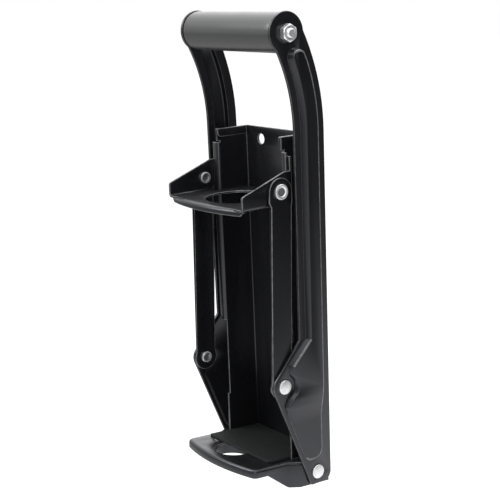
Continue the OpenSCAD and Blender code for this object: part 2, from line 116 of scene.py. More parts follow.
class NodeTree:
    """A thin wrapper that adds nodes and links to one node tree."""

    STEP = 180
    MIX_INPUTS = (0, 6, 7)

    def __init__(self, tree: Tree) -> None:
        """Wraps a node tree."""
        self.tree = tree
        self.column = 0

    @classmethod
    def opened(cls, owner: Material | bpy.types.World) -> "NodeTree":
        """Wraps the emptied node tree of a material or a world."""
        owner.use_nodes = True
        owner.node_tree.nodes.clear()
        return cls(owner.node_tree)

    def feed(self, value: object, target: Socket) -> None:
        """Links an output to an input, or sets a plain value; None leaves the input as it is."""
        if isinstance(value, Socket):
            self.tree.links.new(value, target)
        elif value is not None:
            target.default_value = value

    def put(self, node: Node, **settings: object) -> None:
        """Sets a node's properties and feeds its inputs.

        Args:
            node: the node.
            **settings: property names, or input names with underscores for spaces.
        """
        for key, value in settings.items():
            if hasattr(node, key):
                setattr(node, key, value)
            else:
                self.feed(value, node.inputs[key.replace("_", " ")])

    def add(self, kind: str, *values: object, **settings: object) -> Node:
        """Adds a node.

        Args:
            kind: Blender's node type.
            *values: sockets or plain values for its first inputs, in their order.
            **settings: what put() takes.

        Returns:
            The new node.
        """
        node = self.tree.nodes.new(kind)
        node.location = (self.column * self.STEP, 0)
        self.column += 1
        self.put(node, **settings)
        for value, target in zip(values, node.inputs):
            self.feed(value, target)
        return node

    def group(self, tree: Tree, **values: float) -> Outputs:
        """Places a node group with its input values and returns its outputs."""
        return self.add("ShaderNodeGroup", node_tree=tree, **values).outputs

    def math(self, operation: str, *values: object, clamp: bool = False) -> Socket:
        """Adds Math nodes that join values from left to right.

        Args:
            operation: the Math nodes' operation.
            *values: sockets or numbers; a lone value is worked on by itself.
            clamp: keeps each result between 0 and 1.

        Returns:
            The last result's socket.
        """
        total = values[0]
        for value in values[1:] or (None,):
            node = self.add("ShaderNodeMath", total, value, operation=operation, use_clamp=clamp)
            total = node.outputs[0]
        return total

    def mix(self, factor: Socket, first: object, second: object) -> Socket:
        """Mixes two colours.

        Args:
            factor: the socket that picks between them.
            first: a socket or a colour, shown where the factor is 0.
            second: a socket or a colour, shown where the factor is 1.

        Returns:
            The mixed colour's socket.
        """
        node = self.add("ShaderNodeMix", data_type="RGBA")
        for index, value in zip(self.MIX_INPUTS, (factor, first, second)):
            self.feed((*value, 1.0) if isinstance(value, tuple) else value, node.inputs[index])
        return node.outputs[2]

    def remap(
        self, value: Socket, low: float, high: float, to_low: float = 0.0, to_high: float = 1.0
    ) -> Socket:
        """Adds a clamped Map Range node.

        Args:
            value: the socket to map.
            low: the value that becomes to_low.
            high: the value that becomes to_high.
            to_low: the result at low.
            to_high: the result at high.

        Returns:
            The mapped value's socket.
        """
        return self.add("ShaderNodeMapRange", value, low, high, to_low, to_high).outputs[0]

    def place(self) -> Socket:
        """The Object coordinates' socket."""
        return self.add("ShaderNodeTexCoord").outputs["Object"]

    def noise(self, scale: object, detail: float, roughness: float = 0.5) -> Socket:
        """Adds a Noise texture in Object coordinates and returns its value's socket."""
        return self.add(
            "ShaderNodeTexNoise", Vector=self.place(), Scale=scale, Detail=detail, Roughness=roughness
        ).outputs[0]

    def axes(self, vector: Socket) -> Outputs:
        """Splits a vector and returns its X, Y and Z sockets."""
        return self.add("ShaderNodeSeparateXYZ", Vector=vector).outputs

    def mask(self) -> Socket:
        """The socket of the mask that the meshes carry: painted highlight on sheet edges and painted shade in
        rivet hollows.
        """
        return self.add("ShaderNodeAttribute", attribute_name=PAINTED_LIGHT_MASK).outputs["Fac"]

    def rays(self) -> tuple[Socket, Socket]:
        """Tells what kind of ray is traced.

        Returns:
            The sockets that are 1 for camera rays, and for mirrored or transmitted rays.
        """
        path = self.add("ShaderNodeLightPath").outputs
        return path["Is Camera Ray"], self.math("MAXIMUM", path["Is Glossy Ray"], path["Is Transmission Ray"])


class SurfaceGroups:
    """The node groups that several finishes share, each made once."""

    CLOUD_SPAN = (0.3, 0.7)
    # Where the noise lets the painted edge highlight through, and the least of it that stays.
    WEAR_SPAN = (0.32, 0.62)
    WEAR_LEAST = 0.45
    UP_SPAN = (0.2, 1.0)
    PATCH_SPAN = (0.35, 0.7)
    PATCH_LEAST = 0.4

    _made: dict[str, Tree] = {}

    @classmethod
    def _make(
        cls, name: str, inputs: dict[str, float], fill: Callable[[NodeTree, Outputs], dict[str, Socket]]
    ) -> Tree:
        """Makes a group of number sockets once, and returns it each time.

        Args:
            name: the group's name.
            inputs: the inputs' names and defaults.
            fill: adds the group's nodes and gives what each output shows.

        Returns:
            The group.
        """
        if name not in cls._made:
            tree = bpy.data.node_groups.new(name, "ShaderNodeTree")
            for label, value in inputs.items():
                socket = tree.interface.new_socket(label, in_out="INPUT", socket_type="NodeSocketFloat")
                socket.default_value = value
            t = NodeTree(tree)
            results = fill(t, t.add("NodeGroupInput").outputs)
            for label in results:
                tree.interface.new_socket(label, in_out="OUTPUT", socket_type="NodeSocketFloat")
            t.add("NodeGroupOutput", **results)
            cls._made[name] = tree
        return cls._made[name]

    @classmethod
    def coat_grain(cls) -> Tree:
        """Fine pebbling and slow unevenness of a baked coating.

        Returns:
            The group, which puts out Height and Cloud, both around 0 to 1.
        """

        def fill(t: NodeTree, ins: Outputs) -> dict[str, Socket]:
            """Adds the two noises."""
            cloud = t.noise(ins["Cloud Scale"], detail=2.0)
            height = t.noise(ins["Grain Scale"], detail=3.0, roughness=0.6)
            return {"Height": height, "Cloud": t.remap(cloud, *cls.CLOUD_SPAN)}

        return cls._make("coat_grain", {"Grain Scale": 900.0, "Cloud Scale": 14.0}, fill)

    @classmethod
    def edge_rub(cls) -> Tree:
        """Painted highlight on sheet edges, broken up by noise.

        Returns:
            The group, which puts out Highlight, the painted highlight's strength from 0 to 1.
        """

        def fill(t: NodeTree, ins: Outputs) -> dict[str, Socket]:
            """Adds the mask and its noise."""
            noise = t.noise(ins["Break Scale"], detail=4.0, roughness=0.65)
            broken = t.remap(noise, *cls.WEAR_SPAN, cls.WEAR_LEAST)
            return {"Rub": t.math("MULTIPLY", t.mask(), broken, ins["Amount"], clamp=True)}

        return cls._make("edge_rub", {"Break Scale": 260.0, "Amount": 1.0}, fill)

    @classmethod
    def dust_film(cls) -> Tree:
        """A thin, patchy film that lies on faces that look up.

        Returns:
            The group, which puts out Film from 0 to 1.
        """

        def fill(t: NodeTree, ins: Outputs) -> dict[str, Socket]:
            """Adds the slope mask and its patches."""
            normal = t.axes(t.add("ShaderNodeNewGeometry").outputs["Normal"])
            noise = t.noise(ins["Patch Scale"], detail=5.0, roughness=0.6)
            patches = t.remap(noise, *cls.PATCH_SPAN, cls.PATCH_LEAST)
            up = t.remap(normal["Z"], *cls.UP_SPAN)
            return {"Film": t.math("MULTIPLY", up, patches, ins["Amount"], clamp=True)}

        return cls._make("dust_film", {"Patch Scale": 60.0, "Amount": 0.1}, fill)


# ---------------- finishes


@dataclass(frozen=True)
class Finish:
    """A look that becomes one material."""

    name: str

    def build(self) -> Material:
        """Makes the material and returns it."""
        material = bpy.data.materials.new(self.name)
        t = NodeTree.opened(material)
        surface = self.wire(t, t.add("ShaderNodeBsdfPrincipled"))
        t.add("ShaderNodeOutputMaterial", Surface=surface.outputs[0])
        return material

    def wire(self, t: NodeTree, shader: Node) -> Node:
        """Adds the look's nodes; each finish has its own.

        Args:
            t: the material's node tree.
            shader: its Principled shader.

        Returns:
            The node that the surface shows.
        """
        raise NotImplementedError


@dataclass(frozen=True)
class GrainedFinish(Finish):
    """A finish with the shared grain; bump is the grain's strength and relief its depth."""

    grain_scale: float
    cloud_scale: float
    bump: float
    relief: float

    def grain(self, t: NodeTree) -> Outputs:
        """Places the shared grain at this finish's scales and returns its outputs."""
        return t.group(SurfaceGroups.coat_grain(), Grain_Scale=self.grain_scale, Cloud_Scale=self.cloud_scale)

    def normal(self, t: NodeTree, height: Socket) -> Socket:
        """Turns a height into a bumped normal and returns its socket."""
        size = {"Strength": self.bump, "Distance": self.relief * MM}
        return t.add("ShaderNodeBump", Height=height, **size).outputs[0]


@dataclass(frozen=True)
class PowderCoat(GrainedFinish):
    """Black baked powder coat on sheet steel, with painted highlights along its softened edges, and a little
    dusty.
    """

    name: str = "black_powder_coat"
    grain_scale: float = 1100.0
    cloud_scale: float = 18.0
    bump: float = 0.22
    relief: float = 0.012
    deep: Triple = (0.0075, 0.0078, 0.0088)
    pale: Triple = (0.0100, 0.0102, 0.0114)
    # Colour of the painted highlight on the softened edges.
    edge: Triple = (0.34, 0.34, 0.335)
    film: Triple = (0.06, 0.06, 0.06)
    sheen: Triple = (0.90, 0.91, 1.0)
    specular: float = 0.58
    roughness: Span = (0.24, 0.31)
    film_roughness: float = 0.5
    # Strength and noise scale of the painted edge highlight.
    rub: float = 0.85
    rub_scale: float = 240.0
    dust: float = 0.10
    dust_scale: float = 55.0

    def wire(self, t: NodeTree, shader: Node) -> Node:
        """Adds the coat, the painted highlights on its edges and the dust."""
        grain = self.grain(t)
        rub = t.group(SurfaceGroups.edge_rub(), Break_Scale=self.rub_scale, Amount=self.rub)["Rub"]
        dust = t.group(SurfaceGroups.dust_film(), Patch_Scale=self.dust_scale, Amount=self.dust)["Film"]
        # Painted highlight: the edge mask lightens the coat towards the edge colour.
        highlighted = t.mix(rub, t.mix(grain["Cloud"], self.deep, self.pale), self.edge)
        rough = t.remap(grain["Cloud"], 0.0, 1.0, *self.roughness)
        dull = t.math("MULTIPLY", dust, self.film_roughness)
        t.put(
            shader,
            Base_Color=t.mix(dust, highlighted, self.film),
            Roughness=t.math("ADD", rough, dull, clamp=True),
            Normal=self.normal(t, grain["Height"]),
            Specular_IOR_Level=self.specular,
            Specular_Tint=(*self.sheen, 1.0),
        )
        return shader


@dataclass(frozen=True)
class ZincPlate(GrainedFinish):
    """Bright zinc plate on rivets, rod, nuts and tube, with painted shade in sunk centres."""

    name: str = "zinc_plate"
    grain_scale: float = 1500.0
    cloud_scale: float = 320.0
    bump: float = 0.15
    relief: float = 0.01
    bright: Triple = (0.95, 0.955, 0.96)
    dull: Triple = (0.78, 0.785, 0.79)
    # Painted shade colour for the rivets' sunk centres and hollows.
    sunk: Triple = (0.24, 0.245, 0.25)
    rough_span: Span = (0.3, 0.7)
    roughness: Span = (0.31, 0.46)
    metallic: float = 0.75

    def wire(self, t: NodeTree, shader: Node) -> Node:
        """Adds the plate's clouds and its dark centres."""
        grain = self.grain(t)
        plain = t.mix(grain["Cloud"], self.bright, self.dull)
        # Painted shade: the masked hollow faces take the dark sunk colour.
        t.put(
            shader,
            Base_Color=t.mix(t.mask(), plain, self.sunk),
            Roughness=t.remap(grain["Height"], *self.rough_span, *self.roughness),
            Normal=self.normal(t, grain["Height"]),
            Metallic=self.metallic,
        )
        return shader


@dataclass(frozen=True)
class GripRubber(GrainedFinish):
    """Smooth grey sleeve of the handle, with faint lines round it."""

    name: str = "grip_sleeve_grey"
    grain_scale: float = 700.0
    cloud_scale: float = 26.0
    bump: float = 0.06
    relief: float = 0.006
    main: Triple = (0.063, 0.064, 0.065)
    cloud: Triple = (0.057, 0.058, 0.059)
    roughness: Span = (0.27, 0.32)
    specular: float = 0.85
    line_scale: float = 210.0
    line_waver: float = 0.6
    line_share: float = 0.35

    def wire(self, t: NodeTree, shader: Node) -> Node:
        """Adds the rubber and its lines."""
        grain = self.grain(t)
        look = {"Scale": self.line_scale, "Distortion": self.line_waver, "Detail": 2.0}
        lines = t.add("ShaderNodeTexWave", bands_direction="X", Vector=t.place(), **look)
        turned = t.math("MULTIPLY", lines.outputs["Fac"], self.line_share)
        t.put(
            shader,
            Base_Color=t.mix(grain["Cloud"], self.main, self.cloud),
            Roughness=t.remap(grain["Cloud"], 0.0, 1.0, *self.roughness),
            Normal=self.normal(t, t.math("ADD", turned, grain["Height"])),
            Specular_IOR_Level=self.specular,
        )
        return shader


@dataclass(frozen=True)
class DottedMat(GrainedFinish):
    """Charcoal rubber mat with fine raised dots, a pitch apart in millimetres."""

    name: str = "dotted_mat"
    grain_scale: float = 1600.0
    cloud_scale: float = 40.0
    bump: float = 0.6
    relief: float = 0.2
    base: Triple = (0.007, 0.0075, 0.0075)
    dot: Triple = (0.042, 0.044, 0.044)
    dot_span: Span = (0.1, 1.3)
    dot_least: float = 0.75
    pitch: float = 1.25
    turn: float = 45.0
    roughness: float = 0.78
    specular: float = 0.25
    grain_share: float = 0.25

    def wire(self, t: NodeTree, shader: Node) -> Node:
        """Adds the dots, where two waves across each other have their crests."""
        turned = t.add(
            "ShaderNodeMapping", Vector=t.place(), Rotation=(0.0, 0.0, math.radians(self.turn))
        )
        parts = t.axes(turned.outputs[0])
        per_metre = 2 * math.pi / (self.pitch * MM)
        waves = [t.math("COSINE", t.math("MULTIPLY", parts[axis], per_metre)) for axis in "XY"]
        dots = t.remap(t.math("ADD", *waves), *self.dot_span)
        grain = self.grain(t)
        shade = t.math("MULTIPLY", dots, t.remap(grain["Cloud"], 0.0, 1.0, self.dot_least))
        fine = t.math("MULTIPLY", grain["Height"], self.grain_share)
        t.put(
            shader,
            Base_Color=t.mix(shade, self.base, self.dot),
            Roughness=self.roughness,
            Normal=self.normal(t, t.math("ADD", dots, fine)),
            Specular_IOR_Level=self.specular,
        )
        return shader


@dataclass(frozen=True)
class StudioPaper(Finish):
    """White paper under the object: pure white to the camera, and lit by region in reflections.

    A glow is light that the paper gives off, and a dim is what it loses. A reach or a span is
    where a region starts and where it is full.
    """

    name: str = "studio_paper"
    shade: Triple = (0.40, 0.40, 0.40)
    unevenness: float = 0.985
    cloud_scale: float = 3.0
    roughness: float = 0.9
    seen_glow: float = 0.90
    near_glow: float = 0.98
    near_reach: Span = (0.55, 1.5)
    left_glow: float = 0.12
    left_dim: float = 0.25
    left_span: Span = (0.1, -0.8)
    right_span: Span = (0.2, 1.0)
    rear_dim: float = 0.5
    rear_span: Span = (0.2, 1.0)
    front_glow: float = 0.7
    front_span: Span = (0.0, -0.6)

    def wire(self, t: NodeTree, shader: Node) -> Node:
        """Adds the paper's colour and its glow."""
        way = t.axes(t.place())
        reach = t.add("ShaderNodeVectorMath", t.place(), operation="LENGTH")
        near = t.remap(reach.outputs["Value"], *self.near_reach, self.near_glow, 0.0)
        left = t.remap(way["X"], *self.left_span)
        right = t.remap(way["X"], *self.right_span)
        rear = t.math("MULTIPLY", right, t.remap(way["Y"], *self.rear_span, 0.0, self.rear_dim))
        front = t.math("MULTIPLY", right, t.remap(way["Y"], *self.front_span, 0.0, self.front_glow))
        spread = t.math("MULTIPLY", t.math("SUBTRACT", self.left_glow, near), left)
        seen, mirrored = t.rays()
        uneven = tuple(c * self.unevenness for c in self.shade)
        paper = t.mix(t.noise(self.cloud_scale, detail=2.0), self.shade, uneven)
        loss = t.math("ADD", rear, t.math("MULTIPLY", left, self.left_dim))
        dim = t.math("MULTIPLY", mirrored, loss)
        colour = t.mix(dim, paper, (0.0, 0.0, 0.0))
        t.put(shader, Base_Color=colour, Roughness=self.roughness, Specular_IOR_Level=0.0)
        reflected = t.math("MULTIPLY", t.math("ADD", near, spread, front), mirrored)
        strength = t.math("ADD", reflected, t.math("MULTIPLY", seen, self.seen_glow))
        glow = t.add("ShaderNodeEmission", Strength=strength)
        return t.add("ShaderNodeAddShader", shader.outputs[0], glow.outputs[0])


@dataclass(frozen=True)
class Finishes:
    """Every material of the object, made once."""

    coat: Material
    zinc: Material
    grip: Material
    mat: Material

    @classmethod
    def make(cls) -> "Finishes":
        """Builds all the finishes."""
        return cls(PowderCoat().build(), ZincPlate().build(), GripRubber().build(), DottedMat().build())


# ---------------- mesh helpers


def add_object(name: str, data: bpy.types.ID) -> Piece:
    """Puts a mesh, a lamp or a camera in the scene as an object and returns it."""
    thing = bpy.data.objects.new(name, data)
    bpy.context.scene.collection.objects.link(thing)
    return thing


def add_mesh(bm: Mesh, name: str, material: Material) -> Piece:
    """Puts a bmesh with one material in the scene, frees it and returns the object."""
    mesh = bpy.data.meshes.new(name)
    bm.to_mesh(mesh)
    bm.free()
    mesh.materials.append(material)
    return add_object(name, mesh)


def to_piece(
    bm: Mesh, name: str, material: Material, body: str, slot: str, node: str = "", smooth: float = 35.0
) -> Piece:
    """Turns a bmesh into a piece that rides on a body.

    Args:
        bm: the finished mesh, in the row frame; it is freed.
        name: the piece's name.
        material: its material.
        body: the body that it moves with.
        slot: the record's material slot; not used.
        node: the node that it stands for, if there is one.
        smooth: edges flatter than this, in degrees, are shaded smooth.

    Returns:
        The new piece.
    """
    limit = math.radians(smooth)
    for face in bm.faces:
        face.smooth = True
    for edge in bm.edges:
        edge.smooth = len(edge.link_faces) == 2 and edge.calc_face_angle(0.0) < limit
    piece = add_mesh(bm, name, material)
    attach(piece, body)
    if node:
        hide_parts(node)
    return piece


def axis_point(node: str) -> Vector:
    """Finds where a turned node's axis meets the middle plane, in metres."""
    lo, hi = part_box(node)
    return Vector((0.0, (lo.y + hi.y) / 2, (lo.z + hi.z) / 2))


def mirror_left(bm: Mesh, side: Side) -> None:
    """Mirrors a mesh made for the right side if it belongs on the left, and turns its faces out."""
    if side is Side.LEFT:
        bmesh.ops.scale(bm, vec=(-1, 1, 1), verts=bm.verts)
    bmesh.ops.recalc_face_normals(bm, faces=bm.faces)


def lathe_x(profile: Profile, centre: Vector, side: Side, segments: int = 64) -> Mesh:
    """Spins a profile about a line along X.

    Args:
        profile: (distance outwards along X, radius) pairs in millimetres; a closed solid starts and
            ends on the axis.
        centre: a point on the line, in metres, whose x is where distance 0 lies on the right side.
        side: the side that the profile belongs to; the left one is mirrored.
        segments: steps round the axis.

    Returns:
        The spun mesh.
    """
    bm = bmesh.new()
    verts = [bm.verts.new((x * MM, 0.0, r * MM)) for x, r in profile]
    edges = [bm.edges.new(pair) for pair in zip(verts, verts[1:])]
    turn = {"axis": (1, 0, 0), "angle": 2 * math.pi, "steps": segments}
    bmesh.ops.spin(bm, geom=[*verts, *edges], use_merge=True, **turn)
    bmesh.ops.remove_doubles(bm, verts=bm.verts, dist=TINY)
    bmesh.ops.transform(bm, matrix=Matrix.Translation(centre), verts=bm.verts)
    mirror_left(bm, side)
    return bm


def round_over(x: float, r: float, radius: float, steps: int = 4, towards: int = 1) -> Profile:
    """Profile points that round an outer rim.

    Args:
        x: where the rim's flat end face lies.
        r: the rim's full radius.
        radius: the rounding.
        steps: segments in the rounding.
        towards: 1 if the end face looks to +X, -1 if it looks to -X.

    Returns:
        Points from the flank to the end face.
    """
    turns = [math.pi / 2 * i / steps for i in range(steps + 1)]
    return [(x - towards * radius * (1 - math.sin(a)), r - radius * (1 - math.cos(a))) for a in turns]


def is_bent(edge: Edge, angle: float) -> bool:
    """Tells whether two faces meet at an edge with more than an angle, in degrees, between them."""
    return edge.calc_face_angle(0.0) > math.radians(angle)


def bevel(bm: Mesh, edges: list[Edge], width: float, segments: int, slide: bool = True) -> list:
    """Bevels some edges.

    Args:
        bm: the mesh.
        edges: the edges to bevel.
        width: the bevel's width, in millimetres.
        segments: steps across the bevel.
        slide: lets the bevel's corners slide along the edges that they meet.

    Returns:
        The new faces.
    """
    size = {"offset": width * MM, "segments": segments, "profile": 0.5, "loop_slide": slide}
    return bmesh.ops.bevel(bm, geom=edges, affect="EDGES", material=-1, **size)["faces"]


def slice_level(bm: Mesh, height: float) -> None:
    """Cuts every face of a mesh along a level plane at a height in metres."""
    bmesh.ops.bisect_plane(
        bm, geom=[*bm.verts, *bm.edges, *bm.faces], dist=TINY, plane_co=(0, 0, height), plane_no=(0, 0, 1)
    )


def ring_edges(bm: Mesh, ring: list[Vert]) -> list[Edge]:
    """Finds the edges that join a ring's vertices."""
    return [e for e in bm.edges if e.verts[0] in ring and e.verts[1] in ring]


def grow_ring(bm: Mesh, ring: list[Vert]) -> list[Vert]:
    """Extrudes a ring of edges and returns the new ring's vertices, still in the old place."""
    made = bmesh.ops.extrude_edge_only(bm, edges=ring_edges(bm, ring))
    return [v for v in made["geom"] if isinstance(v, Vert)]


class SheetDresser:
    """Softens the cut edges of a sheet-metal node and paints highlights on them."""

    def __init__(self, frame: dict, finishes: Finishes) -> None:
        """Keeps the frame and the finishes."""
        self.nodes = frame["nodes"]
        self.finishes = finishes

    def merged(self, node: str) -> Mesh:
        """Copies a node's solid and joins its loose triangles into whole faces.

        Args:
            node: the node's name.

        Returns:
            The merged mesh.
        """
        bm = bmesh.new()
        bm.from_mesh(self.nodes[node].data)
        bmesh.ops.remove_doubles(bm, verts=bm.verts, dist=WELD)
        bmesh.ops.dissolve_degenerate(bm, edges=bm.edges, dist=TINY)
        flat = math.radians(FLAT_ANGLE)
        bmesh.ops.dissolve_limit(bm, angle_limit=flat, verts=bm.verts, edges=bm.edges)
        return bm

    def soften(self, bm: Mesh, edges: list[Edge], width: float, mark: float) -> None:
        """Bevels some edges and paints a highlight on the new faces.

        Args:
            bm: the mesh.
            edges: the edges to bevel.
            width: the bevel's width, in millimetres.
            mark: how strongly the highlight is painted on the new faces, from 0 to 1.
        """
        mask = bm.faces.layers.float.get(PAINTED_LIGHT_MASK) or bm.faces.layers.float.new(PAINTED_LIGHT_MASK)
        # Painted highlight: the new bevel faces get this strength in the mask.
        for face in bevel(bm, edges, width, segments=2):
            face[mask] = mark

    def dress(
        self,
        node: str,
        body: str,
        width: float = 0.42,
        corner: float = 50.0,
        smooth: float = 32.0,
        shape: Callable[[Mesh], None] | None = None,
        mark: float = 1.0,
    ) -> Piece:
        """Makes the softened sheet that stands for a node.

        Args:
            node: the node's name.
            body: the body that it moves with.
            width: the softening's width, in millimetres.
            corner: edges sharper than this, in degrees, are softened.
            smooth: edges flatter than this, in degrees, are shaded smooth.
            shape: works the merged mesh before its edges are softened.
            mark: how strongly a highlight is painted on the softened edges, from 0 to 1.

        Returns:
            The new piece.
        """
        bm = self.merged(node)
        if shape:
            shape(bm)
        bm.normal_update()
        self.soften(bm, [e for e in bm.edges if e.is_convex and is_bent(e, corner)], width, mark)
        return to_piece(bm, f"{node}_sheet", self.finishes.coat, body, "black_coated_steel", node, smooth)


@dataclass
class Rivet:
    """A rivet node's box turned into a spun rivet with worked ends.

    Profile points are (depth below the end face, radius). The hollow's and the ring's radii are
    shares, of the hollow's and the head's radius, and the lip's are distances outside the hollow.
    """

    HOLLOW = ((0.75, 0.0), (0.7, 0.55), (0.5, 0.9))
    HOLLOW_SHARE = 0.58
    LIP = ((0.15, 0.15), (0.02, 0.5))
    RING = ((0.05, 0.70), (0.25, 0.62), (0.6, 0.56), (0.72, 0.4), (0.66, 0.2), (0.62, 0.0))
    DOME = (0.8, 0.6, 0.4, 0.2, 0.0)

    finishes: Finishes
    kind: str
    side: Side
    body: str
    shank_r: float = 3.0
    tail_r: float = 3.9
    head_h: float = 1.4
    rim: float = 0.45
    dome_h: float = 0.35
    # Radius and depth span, in millimetres, of the sunk faces that get painted shade.
    dull_r: float = 2.94
    dull_depth: Span = (0.08, 1.0)

    def __post_init__(self) -> None:
        """Reads the ends' distances from the middle plane, the head's radius and the axis."""
        self.node = f"{self.kind}_{self.side.word}"
        lo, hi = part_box(self.node)
        self.inner, self.outer = sorted((abs(lo.x) / MM, abs(hi.x) / MM))
        self.head_r = (hi.y - lo.y) / 2 / MM
        self.axis = axis_point(self.node)

    def _spin(self, profile: Profile, *sunk: float) -> Piece:
        """Spins a profile and lets it stand for the node.

        Args:
            profile: distances from the middle plane and radii, in millimetres.
            *sunk: distances of the end faces whose sunk middle gets painted shade.

        Returns:
            The new piece.
        """
        bm = lathe_x(profile, self.axis, self.side)
        mask = bm.faces.layers.float.new(PAINTED_LIGHT_MASK)
        least, most = self.dull_depth
        # Painted shade: faces sunk below an end face near the axis are marked dark.
        for face in bm.faces:
            middle = face.calc_center_median()
            off = (middle - self.axis).yz.length / MM
            depth = min([abs(abs(middle.x) / MM - end) for end in sunk], default=math.inf)
            face[mask] = float(least < depth < most and off < self.dull_r)
        zinc = self.finishes.zinc
        return to_piece(bm, f"{self.node}_turned", zinc, self.body, "zinc_steel", self.node)

    def _tail(self, tail_r: float) -> Profile:
        """Profile of a formed tail with a hollow, from its axis out to the shank."""
        hollow_r = tail_r * self.HOLLOW_SHARE
        points = [(self.inner + depth, hollow_r * share) for depth, share in self.HOLLOW]
        points += [(self.inner + depth, hollow_r + off) for depth, off in self.LIP]
        points += reversed(round_over(self.inner, tail_r, self.rim, towards=-1))
        return [*points, (self.inner + self.head_h, tail_r), (self.inner + self.head_h, self.shank_r)]

    def _seat(self) -> Profile:
        """Profile from the shank out to the foot of the outer head."""
        seat = self.outer - self.head_h
        return [(seat, self.shank_r), (seat, self.head_r)]

    def domed(self, tail: bool = True) -> Piece:
        """Makes a rivet with a low domed outer head.

        Args:
            tail: adds a formed tail at the inner end.

        Returns:
            The new piece.
        """
        profile = self._tail(self.tail_r) if tail else [(self.inner, 0.0), (self.inner, self.shank_r)]
        profile += self._seat() + round_over(self.outer - self.dome_h, self.head_r, self.rim)
        flat = self.head_r - self.rim
        profile += [(self.outer - self.dome_h * s * s, flat * s) for s in self.DOME]
        return self._spin(profile, *([self.inner] if tail else []))

    def ringed(self) -> Piece:
        """Makes a rivet whose outer head is a ring round a sunk centre, and returns it."""
        profile = self._tail(self.tail_r) + self._seat()
        profile += round_over(self.outer, self.head_r, self.rim)
        profile += [(self.outer - depth, self.head_r * share) for depth, share in self.RING]
        return self._spin(profile, self.inner, self.outer)

    def tail_only(self) -> Piece:
        """Makes the inner half of a rivet, with its formed tail, and returns it."""
        profile = self._tail(self.head_r) + [(self.outer, self.shank_r), (self.outer, 0.0)]
        return self._spin(profile, self.inner)


# ---------------- sub-assemblies


@dataclass
class WallFrame:
    """The channel, the shelf with its mat, and the rivets that the levers turn on.

    opener is the cut-out's centre in the tilted shelf, measured from the levers' pivot line.
    """

    dresser: SheetDresser
    body: str = "frame"
    mat_round: float = 0.5
    mat_steps: int = 3
    mat_corner: float = 50.0
    roll: float = 2.1
    roll_steps: int = 6
    roll_reach: float = 46.0
    roll_sides: float = 28.0
    roll_front: float = 14.0
    shelf_middle: float = -34.0
    shelf_tilt: float = 4.0
    level_least: float = 0.9
    upright_most: float = 0.3
    opener: Triple = (-4.0, -34.5, 6.5)
    opener_r: float = 12.75
    collar_wall: float = 1.4
    collar_depth: float = 6.4
    collar_sunk: float = 0.1
    collar_soft: float = 0.3

    def build(self) -> list[Piece]:
        """Builds the standing parts and returns their pieces."""
        pieces = [self.dresser.dress("back_channel", self.body)]
        pieces.append(self.dresser.dress("base_tray", self.body, shape=self.roll_rim))
        pieces += [self.mat(), self.opener_collar()]
        looks = self.dresser.finishes
        return pieces + [Rivet(looks, "pivot_rivet", side, self.body).domed() for side in Side]

    def roll_rim(self, bm: Mesh) -> None:
        """Rolls the edge where the shelf turns down into its front lip and its sides.

        Args:
            bm: the shelf's merged mesh.
        """
        bm.normal_update()
        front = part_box("base_tray")[0].y
        rim = []
        for edge in bm.edges:
            tops = [f for f in edge.link_faces if f.normal.z > self.level_least]
            walls = [f for f in edge.link_faces if abs(f.normal.z) < self.upright_most]
            if not (tops and walls and edge.is_convex):
                continue
            x, y, _ = (edge.verts[0].co + edge.verts[1].co) / 2
            outer = walls[0].normal.dot(Vector((x, y - self.shelf_middle * MM, 0.0))) > 0
            near = y < front + self.roll_reach * MM
            if outer and near and (abs(x) > self.roll_sides * MM or y < front + self.roll_front * MM):
                rim.append(edge)
        bevel(bm, rim, self.roll, self.roll_steps)

    def mat(self) -> Piece:
        """Makes the mat, with rounded edges and the dotted surface."""
        bm = self.dresser.merged("base_mat")
        sharp = [e for e in bm.edges if is_bent(e, self.mat_corner)]
        bevel(bm, sharp, self.mat_round, self.mat_steps, slide=False)
        rubber = self.dresser.finishes.mat
        return to_piece(bm, "base_mat_dotted", rubber, self.body, "mat_black", "base_mat")

    def opener_collar(self) -> Piece:
        """Makes the low collar round the opener cut-out, under the shelf."""
        top, foot, soft = -self.collar_sunk, self.collar_depth, self.collar_soft
        inner, outer = self.opener_r, self.opener_r + self.collar_wall
        profile = [(top, inner), (top, outer), (foot - soft, outer), (foot, outer - soft)]
        profile += [(foot, inner + soft), (foot - soft, inner), (top, inner)]
        bm = lathe_x(profile, Vector(), Side.RIGHT, FINE_TURN)
        shelf = Matrix.Rotation(math.radians(-self.shelf_tilt), 4, "X")
        shelf = Matrix.Translation(axis_point("pivot_rivet_right")) @ shelf
        hole = Matrix.Translation(Vector(self.opener) * MM) @ Matrix.Rotation(math.pi / 2, 4, "Y")
        bmesh.ops.transform(bm, matrix=shelf @ hole, verts=bm.verts)
        return to_piece(bm, "opener_collar", self.dresser.finishes.coat, self.body, "black_coated_steel")


@dataclass
class PressUnit:
    """The sliding press plate with its ears and upper rivets."""

    dresser: SheetDresser
    body: str = "press"

    def build(self) -> list[Piece]:
        """Builds the press and returns its pieces."""
        pieces = [self.dresser.dress("press_carriage", self.body)]
        looks = self.dresser.finishes
        return pieces + [Rivet(looks, "press_rivet", side, self.body).ringed() for side in Side]


